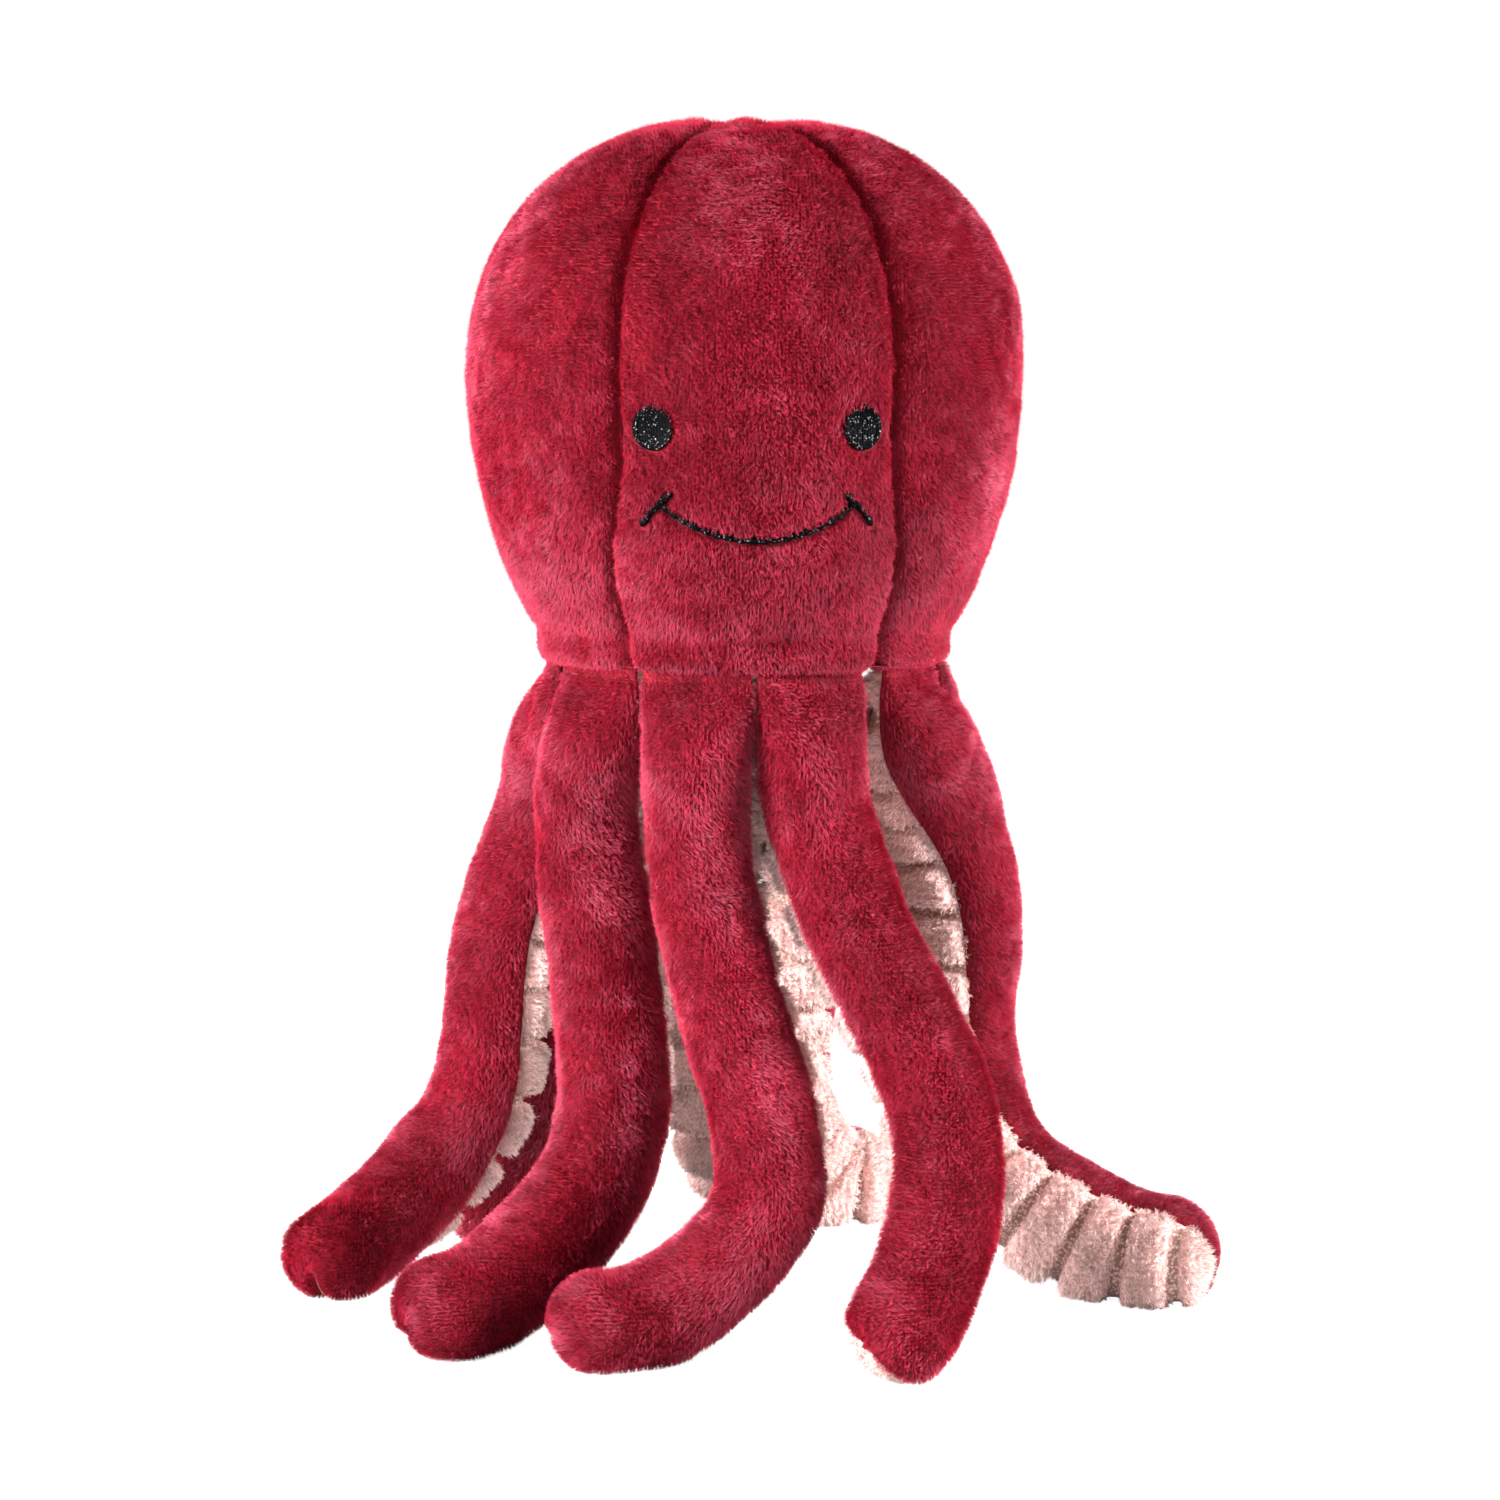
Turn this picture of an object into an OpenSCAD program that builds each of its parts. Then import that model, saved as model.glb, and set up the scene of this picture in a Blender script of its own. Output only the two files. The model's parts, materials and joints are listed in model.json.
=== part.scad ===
// Plush octopus: a stuffed head of six panels, standing on eight stuffed tentacles with ribbed linings.
// Millimetres. +Z is up, the face looks along -Y, and the origin is on the floor under the head.

/* [Head] */
// Height of the whole toy, from the floor to the crown
total_h = 380; // [370:1:385]
// Width of the head at its widest
head_w = 180; // [170:1:184]
// Width of the straight neck band at the foot of the head
neck_w = 135; // [133:1:137]
// Height of the neck's lower edge above the floor
neck_h = 209; // [207:1:211]
// Height of the head's widest line above the floor
belly_h = 300; // [294:1:306]

/* [Cloth] */
// Thickness of the plush, pile and backing together
plush_t = 2.5; // [2:0.1:3]
// Thickness of the ribbed lining under each tentacle
lining_t = 3; // [2.5:0.1:3.5]

/* [Face] */
// Width of an embroidered eye
eye_w = 12.5; // [10:0.5:14]
// Height of an embroidered eye
eye_h = 14.5; // [12:0.5:16]
// Distance between the centres of the eyes
eye_pitch = 64; // [58:1:70]
// Height of the eyes above the floor
eye_z = 285; // [280:1:289]
// Distance between the ends of the smile
smile_w = 58; // [50:1:62]
// How far the middle of the smile hangs below its ends
smile_drop = 9.5; // [8:0.5:12]

/* [Tentacles] */
// Width of a tentacle, seam to seam
tentacle_w = 35; // [32:0.5:36]
// Thickness of a tentacle, from its back to its lining
tentacle_t = 33; // [28:0.5:33]
// Width of the flattened end that is sewn to the neck
root_w = 36; // [34:0.5:37]
// Distance of each root seam from the neck's axis
root_r = 63; // [62:0.5:63.5]

/* [Hidden] */

fit_gap = 0.3;            // between the head's cover and its filling
stuffing_gap = 2.8;       // between a tentacle's covers and its filling
seam_gap = 0.4;           // degrees between neighbouring head panels
panel_count = 6;
panel_angle = 360 / panel_count;
base_t = 2.5;
dome_power = 2.3;         // 2 is an ellipse, more is squarer
lower_h = 121;            // half height of the ellipse that the cheeks follow
dome_steps = 14;
cheek_steps = 10;
stitch_t = 1.2;           // how far embroidery stands proud
smile_stitch_w = 1.8;
tick_h = 12;
tick_w = 1.5;
tick_lean = 40;
tick_gap = 0.2;           // between the smile's end and its tick
smile_below_eyes = 25;    // from the eyes' centres down to the smile's ends

plush_colour = [0.62, 0.08, 0.22];
lining_colour = [0.90, 0.69, 0.66];
stitch_colour = [0.05, 0.05, 0.06];
stuffing_colour = [0.95, 0.95, 0.93];

// ---- Head outline: a squarish dome over elliptical cheeks over a straight band ----

function dome_point(r, h, a) =
    [r * pow(sin(a), 2 / dome_power), belly_h + h * pow(cos(a), 2 / dome_power)];

// Angle down the cheeks' ellipse, of half width r, at which it meets a neck band of radius neck
function cheek_end(r, neck) = asin(sqrt(1 - pow(neck / r, 2)));

// Right-hand outline, from the crown down to height z0, moved inwards by t
function head_outline(t, z0) =
    let (
        r = head_w / 2 - t,
        neck = neck_w / 2 - t,
        h = total_h - belly_h - t,
        last = cheek_end(r, neck)
    )
    concat(
        [for (i = [0:dome_steps]) dome_point(r, h, 90 * i / dome_steps)],
        [for (i = [1:cheek_steps]) let (a = last * i / cheek_steps) [r * cos(a), belly_h - lower_h * sin(a)]],
        [[neck, z0]]
    );

function reversed(list) = [for (i = [len(list) - 1:-1:0]) list[i]];

module head_shell(inner, outer, z0) {
    polygon(concat(head_outline(outer, z0), reversed(head_outline(inner, z0))));
}

module head_panel(index) {
    start = -90 - panel_angle / 2 + panel_angle * index + seam_gap / 2;
    color(plush_colour)
        rotate([0, 0, start])
            rotate_extrude(angle = panel_angle - seam_gap, $fn = 72)
                head_shell(plush_t, 0, neck_h);
}

module head_stuffing() {
    floor_z = neck_h + base_t + fit_gap;
    inset = plush_t + fit_gap;
    color(stuffing_colour)
        rotate_extrude($fn = 72)
            polygon(concat(head_outline(inset, floor_z), [[0, floor_z]]));
}

module base_panel() {
    color(plush_colour)
        translate([0, 0, neck_h])
            cylinder(r = neck_w / 2 - plush_t - fit_gap, h = base_t, $fn = 72);
}

// ---- Face: flat stitch shapes pushed onto the head and cut to its surface ----

module on_face() {
    intersection() {
        rotate([90, 0, 0])
            linear_extrude(height = head_w)
                children();
        rotate_extrude($fn = 72)
            head_shell(0, -stitch_t, neck_h);
    }
}

module eye(side) {
    ring = [for (a = [0:15:345]) [eye_w / 2 * cos(a), eye_z + eye_h / 2 * sin(a)]];
    color(stitch_colour)
        on_face()
            translate([side * eye_pitch / 2, 0])
                polygon(ring);
}

// A shallow arc through both ends of the smile and its lowest point
smile_r = (pow(smile_w / 2, 2) + pow(smile_drop, 2)) / (2 * smile_drop);
smile_end_z = eye_z - smile_below_eyes;
smile_centre_z = smile_end_z - smile_drop + smile_r;
smile_half_angle = asin(smile_w / 2 / smile_r);

function smile_arc(r) =
    [for (a = [-smile_half_angle:smile_half_angle / 8:smile_half_angle]) [r * sin(a), smile_centre_z - r * cos(a)]];

module smile() {
    color(stitch_colour)
        on_face()
            polygon(concat(
                smile_arc(smile_r + smile_stitch_w / 2),
                reversed(smile_arc(smile_r - smile_stitch_w / 2))
            ));
}

module smile_tick(side) {
    gap = smile_stitch_w / 2 + tick_w / 2 + tick_gap;
    color(stitch_colour)
        on_face()
            translate([side * (smile_w / 2 + gap), smile_end_z])
                rotate(side * tick_lean)
                    square([tick_w, tick_h], center = true);
}

// ---- Tentacles ----
// An azimuth is measured about +Z from the face's direction, and is positive towards +X.
// A turn is how far the width direction has swung about +Z by the tip, and a roll how far it has
// tipped about the route. Each route runs from below the root seam to the tip, and each of its
// points is [outwards from the neck's axis, to the left of outwards, height above the floor].

tentacle_azimuths = [-92, -52, -17, 17, 58, -146, 158, 108];
tentacle_turns = [40, 20, -60, -40, 14, 34, 10, -16];
tentacle_rolls = [0, -40, -45, -35, -75, -70, 0, -100];
tentacle_routes = [
    [[63, -21, 160], [79, -25, 112], [87, -25, 60], [107, -18, 30], [129, 10, 14], [140, 30, 13]],
    [[58, -8, 160], [60, 2, 112], [64, 10, 70], [76, 10, 42], [111, 7, 16], [144, 10, 13]],
    [[55, -1, 154], [63, 8, 116], [79, 26, 72], [91, 27, 42], [104, 0, 16], [124, -28, 13]],
    [[57, 4, 162], [71, 12, 128], [100, 27, 78], [114, 23, 44], [128, 5, 17], [137, -11, 13]],
    [[61, 18, 162], [65, 25, 129], [63, 28, 78], [77, 31, 40], [114, 41, 17], [147, 47, 13]],
    [[58, -1, 157], [69, 6, 120], [87, 13, 72], [96, 18, 36], [104, 32, 16], [110, 46, 13]],
    [[57, 17, 157], [66, 38, 120], [87, 47, 80], [97, 45, 42], [114, 43, 16], [134, 43, 13]],
    [[57, 22, 160], [40, 42, 120], [34, 52, 80], [38, 62, 44], [57, 73, 17], [83, 71, 13]]
];

ring_pitch = 14;          // between rings along a tentacle
root_grip = 4;            // half thickness of the root where it is sewn
root_swell = 26;          // distance over which the root reaches full thickness
seam_side_angle = 108;    // where the side seams lie, from the middle of the back
seam_margin = 2;          // degrees between the plush and the lining at a side seam
tip_round = 15;
lining_flat = 0.86;       // how much flatter the lining side is
plush_points = 8;
lining_points = 6;
stuffing_points = 10;
length_steps = 60;
hinge_drop = 0.6;         // from the neck's lower edge to the top of a root
root_tuck = [3, 14];      // how far a tentacle draws in, and how far down, below its root
turn_ease = 1.1;          // above 1, a turn is complete before the tip
roll_ease = 1.2;
tangent_step = 0.004;
least_half = 0.4;         // least half width or thickness of a rounded end
most_inset = 0.7;         // of the half thickness, where a tentacle is thin

function azimuth_out(a) = [sin(a), -cos(a), 0];
function azimuth_left(a) = [cos(a), sin(a), 0];
function placed(p, a) = p[0] * azimuth_out(a) + p[1] * azimuth_left(a) + [0, 0, p[2]];
function unit(v) = v / norm(v);
function eased(x) = let (c = min(1, max(0, x))) c * c * (3 - 2 * c);

hinge_z = neck_h - root_grip - hinge_drop;

// The route's points in space: the sewn end, the swell under it, and then the listed points
function route(k) =
    let (
        top = [root_r, 0, hinge_z + root_grip],
        tuck = [root_r - root_tuck[0], 0, hinge_z - root_tuck[1]]
    )
    [for (p = concat([top, tuck], tentacle_routes[k])) placed(p, tentacle_azimuths[k])];

// Catmull-Rom spline through the points of a route, at x from 0 to 1
function spline_at(points, x) =
    let (
        last = len(points) - 1,
        s = min(last - 1, floor(x * last)),
        u = x * last - s,
        b = points[s],
        c = points[s + 1],
        a = s > 0 ? points[s - 1] : 2 * b - c,
        d = s < last - 1 ? points[s + 2] : 2 * c - b
    )
    0.5 * (2 * b + (c - a) * u + (2 * a - 5 * b + 4 * c - d) * u * u
        + (3 * b - a - 3 * c + d) * u * u * u);

function spline_tangent(points, x) =
    unit(spline_at(points, min(1, x + tangent_step)) - spline_at(points, max(0, x - tangent_step)));

// Pairs of [distance along the spline, x], which lookup() turns from one to the other
function distance_table(points, i = 0, walked = 0) =
    let (x = i / length_steps, next = (i + 1) / length_steps)
    i == length_steps
        ? [[walked, 1]]
        : concat(
            [[walked, x]],
            distance_table(points, i + 1, walked + norm(spline_at(points, next) - spline_at(points, x)))
        );

function turned_about(v, axis, angle) =
    v * cos(angle) + cross(axis, v) * sin(angle) + axis * (axis * v) * (1 - cos(angle));

// Distances along a tentacle at which it has a ring, close together where its ends are round
function ring_distances(length) =
    let (middle = length - tip_round - root_grip, n = ceil(middle / ring_pitch))
    concat(
        [0, root_grip * 0.15, root_grip * 0.5],
        [for (i = [0:n]) root_grip + middle * i / n],
        [for (u = [0.3, 0.6, 0.82, 0.95, 1]) length - tip_round * (1 - u)]
    );

function rounded_end(d, radius) = d < radius ? sqrt(max(0.01, 1 - pow(1 - d / radius, 2))) : 1;

// Section of tentacle k at distance d: [centre, across, towards the back, half width, half thickness]
function section(k, points, table, length, d) =
    let (
        x = lookup(d, table),
        t = spline_tangent(points, x),
        level = azimuth_left(tentacle_azimuths[k] + tentacle_turns[k] * eased(x * turn_ease)),
        across = turned_about(unit(level - t * (t * level)), t, tentacle_rolls[k] * eased(x * roll_ease)),
        swell = eased((d - root_grip) / root_swell),
        tip = rounded_end(length - d, tip_round)
    )
    [
        spline_at(points, x),
        across,
        cross(t, across),
        tip * (root_w / 2 + (tentacle_w - root_w) / 2 * swell),
        tip * rounded_end(d, root_grip) * (root_grip + (tentacle_t / 2 - root_grip) * swell)
    ];

// A section's point at angle q from the middle of its back, inset below the surface and kept above the floor
function section_point(s, q, inset) =
    let (
        half_w = max(least_half, s[3] - inset),
        half_t = max(least_half, s[4] - min(inset, s[4] * most_inset)) * (cos(q) < 0 ? lining_flat : 1),
        p = s[0] + s[1] * half_w * sin(q) + s[2] * half_t * cos(q)
    )
    [p[0], p[1], max(inset, p[2])];

// Closed solid through rings of equal, even length. Each end is closed by a strip that joins the first
// half of its ring to the second half.
module swept(rings) {
    n = len(rings[0]);
    last = (len(rings) - 1) * n;
    sides = [for (i = [0:len(rings) - 2], j = [0:n - 1]) let (k = (j + 1) % n)
        each [[i * n + j, i * n + k, (i + 1) * n + k], [i * n + j, (i + 1) * n + k, (i + 1) * n + j]]];
    strip = [for (j = [0:n / 2 - 2]) each [[j, j + 1, n - 2 - j], [j, n - 2 - j, n - 1 - j]]];
    ends = [for (f = strip) each [[f[2], f[1], f[0]], [last + f[0], last + f[1], last + f[2]]]];
    polyhedron(points = [for (ring = rings) each ring], faces = concat(sides, ends), convexity = 6);
}

// A cover of thickness t over the section from angle q0 to q1, with count points across
module cover(k, q0, q1, count, t) {
    points = route(k);
    table = distance_table(points);
    length = table[length_steps][0];
    angles = [for (j = [0:count - 1]) q0 + (q1 - q0) * j / (count - 1)];
    swept([for (d = ring_distances(length))
        let (
            outside = section(k, points, table, length, d),
            inside = section(k, points, table, length, t + d * (1 - 2 * t / length))
        )
        concat(
            [for (q = angles) section_point(outside, q, 0)],
            [for (q = reversed(angles)) section_point(inside, q, t)]
        )]);
}

module tentacle_plush(k) {
    color(plush_colour)
        cover(k, -seam_side_angle, seam_side_angle, plush_points, plush_t);
}

module tentacle_lining(k) {
    start = seam_side_angle + seam_margin;
    color(lining_colour)
        cover(k, start, 360 - start, lining_points, lining_t);
}

module tentacle_stuffing(k) {
    points = route(k);
    table = distance_table(points);
    length = table[length_steps][0];
    inset = max(plush_t, lining_t) + stuffing_gap;
    start = 2 * root_grip;
    kept = 1 - (start + 2 * inset) / length;
    color(stuffing_colour)
        swept([for (d = ring_distances(length))
            let (s = section(k, points, table, length, start + d * kept))
            [for (j = [0:stuffing_points - 1]) section_point(s, 360 * j / stuffing_points, inset)]]);
}

head_panel(0);  // face_panel
head_panel(1);  // right_cheek_panel
head_panel(2);  // right_rear_panel
head_panel(3);  // back_panel
head_panel(4);  // left_rear_panel
head_panel(5);  // left_cheek_panel
head_stuffing();
base_panel();
eye(-1);  // left_eye
eye(1);  // right_eye
smile();
smile_tick(-1);  // left_smile_tick
smile_tick(1);  // right_smile_tick
for (k = [0:7]) {
    name = str("tentacle_", k + 1);
    tentacle_plush(k);
    tentacle_lining(k);
    tentacle_stuffing(k);
}
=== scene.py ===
import json
import math

import bpy
import numpy as np
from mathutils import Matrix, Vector


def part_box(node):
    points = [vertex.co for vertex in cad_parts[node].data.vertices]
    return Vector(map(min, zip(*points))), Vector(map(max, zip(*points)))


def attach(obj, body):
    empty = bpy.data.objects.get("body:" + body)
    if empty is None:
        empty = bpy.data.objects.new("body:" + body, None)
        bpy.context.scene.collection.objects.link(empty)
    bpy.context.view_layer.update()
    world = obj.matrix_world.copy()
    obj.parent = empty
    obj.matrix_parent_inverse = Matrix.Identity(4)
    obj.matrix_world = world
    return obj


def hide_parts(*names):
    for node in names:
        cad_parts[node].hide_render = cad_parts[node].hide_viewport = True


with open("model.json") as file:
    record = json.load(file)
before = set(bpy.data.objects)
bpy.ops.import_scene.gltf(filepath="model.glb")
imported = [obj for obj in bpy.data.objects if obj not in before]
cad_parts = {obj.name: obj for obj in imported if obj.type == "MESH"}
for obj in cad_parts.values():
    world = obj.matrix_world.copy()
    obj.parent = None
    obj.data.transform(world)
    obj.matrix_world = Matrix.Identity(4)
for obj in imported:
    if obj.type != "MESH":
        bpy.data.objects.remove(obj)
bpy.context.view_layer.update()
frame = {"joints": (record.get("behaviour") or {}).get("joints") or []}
MM = 0.001

# ---- Sizes that come from the frame ----
low_face, high_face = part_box("face_panel")
high_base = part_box("base_panel")[1]
crown_z = high_face.z
neck_z = low_face.z
head_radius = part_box("right_cheek_panel")[1].x
neck_radius = high_base.x + 2.8 * MM
eye_low, eye_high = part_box("left_eye")
eye_centre = (eye_low + eye_high) / 2
smile_low, smile_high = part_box("smile")
lifts = {joint["child"]: joint for joint in frame["joints"]}
hinge_z = lifts["tentacle_1"]["pos_m"][2]
hinge_radius = math.hypot(*lifts["tentacle_1"]["pos_m"][:2])

# ---- Sizes chosen here ----
PILE = 2.8 * MM  # length of the plush pile
PLUSH_DENSITY = 8e6  # fibres for each square metre
BACKING = 1.6 * MM  # from the CAD surface in to the visible backing cloth
HANG = 1.5 * MM  # how far the neck's rolled edge hangs below the CAD's
belly_z = 300 * MM
dome_power = 2.3
lower_h = 121 * MM
PANELS = ["face_panel", "right_cheek_panel", "right_rear_panel"]
PANELS += ["back_panel", "left_rear_panel", "left_cheek_panel"]
SEAM_SIDE = 109  # degrees from the middle of a tentacle's back to its side seams
RIB_PITCH = 18 * MM
RIB_GAP = 0.2  # share of a rib's wave that stays flat, as the knitted ground between ribs
RIB_HEIGHT = 3.8 * MM
FLEECE_PILE = 2.4 * MM
FLEECE_DENSITY = 4.5e6


# ---- Number helpers ----
def eased(x):
    x = np.clip(x, 0, 1)
    return x * x * (3 - 2 * x)


def unit(v):
    return v / np.maximum(np.linalg.norm(v, axis=-1, keepdims=True), 1e-9)


def along(grid, places, wrap=False):
    """The grid's rows at fractional places, on a Catmull-Rom spline."""
    n = len(grid)
    i = np.floor(places).astype(int)
    if not wrap:
        i = np.clip(i, 0, n - 2)
    u = (places - i).reshape((-1,) + (1,) * (grid.ndim - 1))

    def row(k):
        return grid[(i + k) % n] if wrap else grid[np.clip(i + k, 0, n - 1)]

    a, b, c, d = row(-1), row(0), row(1), row(2)
    return 0.5 * (2 * b + (c - a) * u + (2 * a - 5 * b + 4 * c - d) * u**2 + (3 * b - a - 3 * c + d) * u**3)


def noise(points, size, seed, width=1):
    """Smooth random numbers from -1 to 1 at the points, with features of about the given size."""
    side = 32
    table = np.random.default_rng(seed).uniform(-1, 1, (side, side, side, width))
    p = points / size
    low = np.floor(p).astype(int)
    f = p - low
    f = f * f * (3 - 2 * f)
    total = 0
    for corner in np.ndindex(2, 2, 2):
        c = np.array(corner)
        weight = np.prod(np.where(c == 1, f, 1 - f), axis=-1, keepdims=True)
        i = (low + c) % side
        total = total + weight * table[i[..., 0], i[..., 1], i[..., 2]]
    return total if width > 1 else total[..., 0]


def normals_of(grid):
    """Unit normals of a grid of points, whose rows and columns turn right-handed round the outside."""
    return unit(np.cross(np.gradient(grid, axis=0), np.gradient(grid, axis=1)))


# ---- Mesh helpers ----
def mesh_object(name, points, faces, material):
    mesh = bpy.data.meshes.new(name)
    mesh.from_pydata(points.reshape(-1, 3).tolist(), [], faces)
    mesh.materials.append(material)
    mesh.polygons.foreach_set("use_smooth", [True] * len(mesh.polygons))
    mesh.validate()
    thing = bpy.data.objects.new(name, mesh)
    bpy.context.scene.collection.objects.link(thing)
    return thing


def grid_faces(rows, columns, wrap=False):
    i = np.arange(rows - 1)[:, None] * columns
    j = np.arange(columns if wrap else columns - 1)[None, :]
    k = (j + 1) % columns
    quads = np.stack([i + j, i + columns + j, i + columns + k, i + k], axis=-1)
    return quads.reshape(-1, 4).tolist()


def closed_tube(grid):
    """Points and faces of a tube of rings, closed with a fan at each end."""
    rows, columns = grid.shape[:2]
    points = np.concatenate([grid.reshape(-1, 3), [grid[0].mean(axis=0), grid[-1].mean(axis=0)]])
    faces = grid_faces(rows, columns, wrap=True)
    first, last = rows * columns, rows * columns + 1
    end = (rows - 1) * columns
    for j in range(columns):
        k = (j + 1) % columns
        faces.append([first, j, k])
        faces.append([last, end + k, end + j])
    return points, faces


def inflated(bags, pressure=1500.0, frames=16):
    """Blows up closed tubes of rings with Blender's cloth. Each bag is (grid, pinned, cap): pinned says which
    points hold still, and cap is the most that a point may move."""
    made = []
    for grid, pinned, cap in bags:
        points, faces = closed_tube(grid)
        thing = mesh_object("bag", points, faces, None)
        held = np.append(np.flatnonzero(pinned.ravel()), [len(points) - 2, len(points) - 1])
        thing.vertex_groups.new(name="held").add(held.tolist(), 1.0, "REPLACE")
        cloth = thing.modifiers.new("cloth", "CLOTH")
        cloth.settings.quality = 6
        cloth.settings.mass = 0.01
        cloth.settings.tension_stiffness = 8
        cloth.settings.compression_stiffness = 8
        cloth.settings.bending_stiffness = 0.1
        cloth.settings.use_pressure = True
        cloth.settings.uniform_pressure_force = pressure
        cloth.settings.vertex_group_mass = "held"
        cloth.settings.effector_weights.gravity = 0
        made.append(thing)
    for number in range(1, frames + 1):
        bpy.context.scene.frame_set(number)
    graph = bpy.context.evaluated_depsgraph_get()
    results = []
    for thing, (grid, pinned, cap) in zip(made, bags):
        mesh = thing.evaluated_get(graph).data
        moved = np.zeros(len(mesh.vertices) * 3)
        mesh.vertices.foreach_get("co", moved)
        shift = moved.reshape(-1, 3)[:-2].reshape(grid.shape) - grid
        far = np.linalg.norm(shift, axis=-1, keepdims=True)
        results.append(grid + shift * np.minimum(1, cap / np.maximum(far, 1e-9)))
    for thing in made:
        bpy.data.objects.remove(thing)
    bpy.context.scene.frame_set(1)
    return results


# ---- Materials ----
def node_material(name):
    material = bpy.data.materials.new(name)
    material.use_nodes = True
    return material, material.node_tree.nodes, material.node_tree.links


def noise_node(nodes, links, scale, detail=2.0, stretch=None):
    """A noise texture in object space, stretched by the given factors along each axis."""
    place = nodes.new("ShaderNodeTexCoord")
    texture = nodes.new("ShaderNodeTexNoise")
    texture.inputs["Scale"].default_value = scale
    texture.inputs["Detail"].default_value = detail
    if stretch:
        mapping = nodes.new("ShaderNodeMapping")
        mapping.inputs["Scale"].default_value = stretch
        links.new(place.outputs["Object"], mapping.inputs["Vector"])
        links.new(mapping.outputs["Vector"], texture.inputs["Vector"])
    else:
        links.new(place.outputs["Object"], texture.inputs["Vector"])
    return texture


def ramp_node(nodes, links, source, stops):
    ramp = nodes.new("ShaderNodeValToRGB")
    elements = ramp.color_ramp.elements
    while len(elements) < len(stops):
        elements.new(0.5)
    for element, (place, colour) in zip(elements, stops):
        element.position = place
        element.color = (*colour, 1)
    links.new(source, ramp.inputs["Fac"])
    return ramp


def bump_node(nodes, links, source, strength, distance):
    bump = nodes.new("ShaderNodeBump")
    bump.inputs["Strength"].default_value = strength
    bump.inputs["Distance"].default_value = distance
    links.new(source, bump.inputs["Height"])
    return bump


def cloth_material(name, dark, light, streak, sheen, rough=0.85):
    """Pile cloth: streaks of two tones, bump from fine fibres, and a soft sheen."""
    material, nodes, links = node_material(name)
    shader = nodes["Principled BSDF"]
    shader.inputs["Roughness"].default_value = rough
    shader.inputs["Specular IOR Level"].default_value = 0.2
    shader.inputs["Sheen Weight"].default_value = sheen
    shader.inputs["Sheen Roughness"].default_value = 0.4
    shader.inputs["Sheen Tint"].default_value = (*[min(1, 2 * c + 0.2) for c in light], 1)
    broad = noise_node(nodes, links, 60, 3, streak)
    fine = noise_node(nodes, links, 500, 3, streak)
    mixed = nodes.new("ShaderNodeMath")
    mixed.operation = "MULTIPLY_ADD"
    mixed.inputs[1].default_value = 0.5
    half = nodes.new("ShaderNodeMath")
    half.operation = "MULTIPLY"
    half.inputs[1].default_value = 0.5
    links.new(fine.outputs["Fac"], half.inputs[0])
    links.new(broad.outputs["Fac"], mixed.inputs[0])
    links.new(half.outputs[0], mixed.inputs[2])
    ramp = ramp_node(nodes, links, mixed.outputs[0], [(0.3, dark), (0.7, light)])
    links.new(ramp.outputs["Color"], shader.inputs["Base Color"])
    bump = bump_node(nodes, links, fine.outputs["Fac"], 0.8, 0.6 * MM)
    links.new(bump.outputs["Normal"], shader.inputs["Normal"])
    return material


def fibre_material(name, root, tip, shine, shine_share):
    """Single fibres: darker at the root than the tip, as painted shade deep in the pile, each a little
    different, with a silky shine.
    """
    material, nodes, links = node_material(name)
    shader = nodes["Principled BSDF"]
    shader.inputs["Roughness"].default_value = 0.7
    shader.inputs["Specular IOR Level"].default_value = 0.1
    gloss = nodes.new("ShaderNodeBsdfHair")
    gloss.component = "Reflection"
    gloss.inputs["Color"].default_value = (*shine, 1)
    gloss.inputs["RoughnessU"].default_value = 0.16
    gloss.inputs["RoughnessV"].default_value = 0.5
    both = nodes.new("ShaderNodeMixShader")
    both.inputs["Fac"].default_value = shine_share
    links.new(shader.outputs[0], both.inputs[1])
    links.new(gloss.outputs[0], both.inputs[2])
    links.new(both.outputs[0], nodes["Material Output"].inputs["Surface"])
    hair = nodes.new("ShaderNodeHairInfo")
    # Painted shade: the colour ramps from a dark root to a lighter tip, standing for the shade deep down in
    # the pile.
    ramp = ramp_node(nodes, links, hair.outputs["Intercept"], [(0.25, root), (0.95, tip)])
    patch = noise_node(nodes, links, 40, 3)
    spread = nodes.new("ShaderNodeMath")
    spread.operation = "MULTIPLY_ADD"
    spread.inputs[1].default_value = 0.9
    spread.inputs[2].default_value = 0.05
    links.new(hair.outputs["Random"], spread.inputs[0])
    shade = nodes.new("ShaderNodeMath")
    shade.operation = "ADD"
    links.new(spread.outputs[0], shade.inputs[0])
    links.new(patch.outputs["Fac"], shade.inputs[1])
    tone = nodes.new("ShaderNodeHueSaturation")
    links.new(ramp.outputs["Color"], tone.inputs["Color"])
    links.new(shade.outputs[0], tone.inputs["Value"])
    links.new(tone.outputs["Color"], shader.inputs["Base Color"])
    return material


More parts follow.
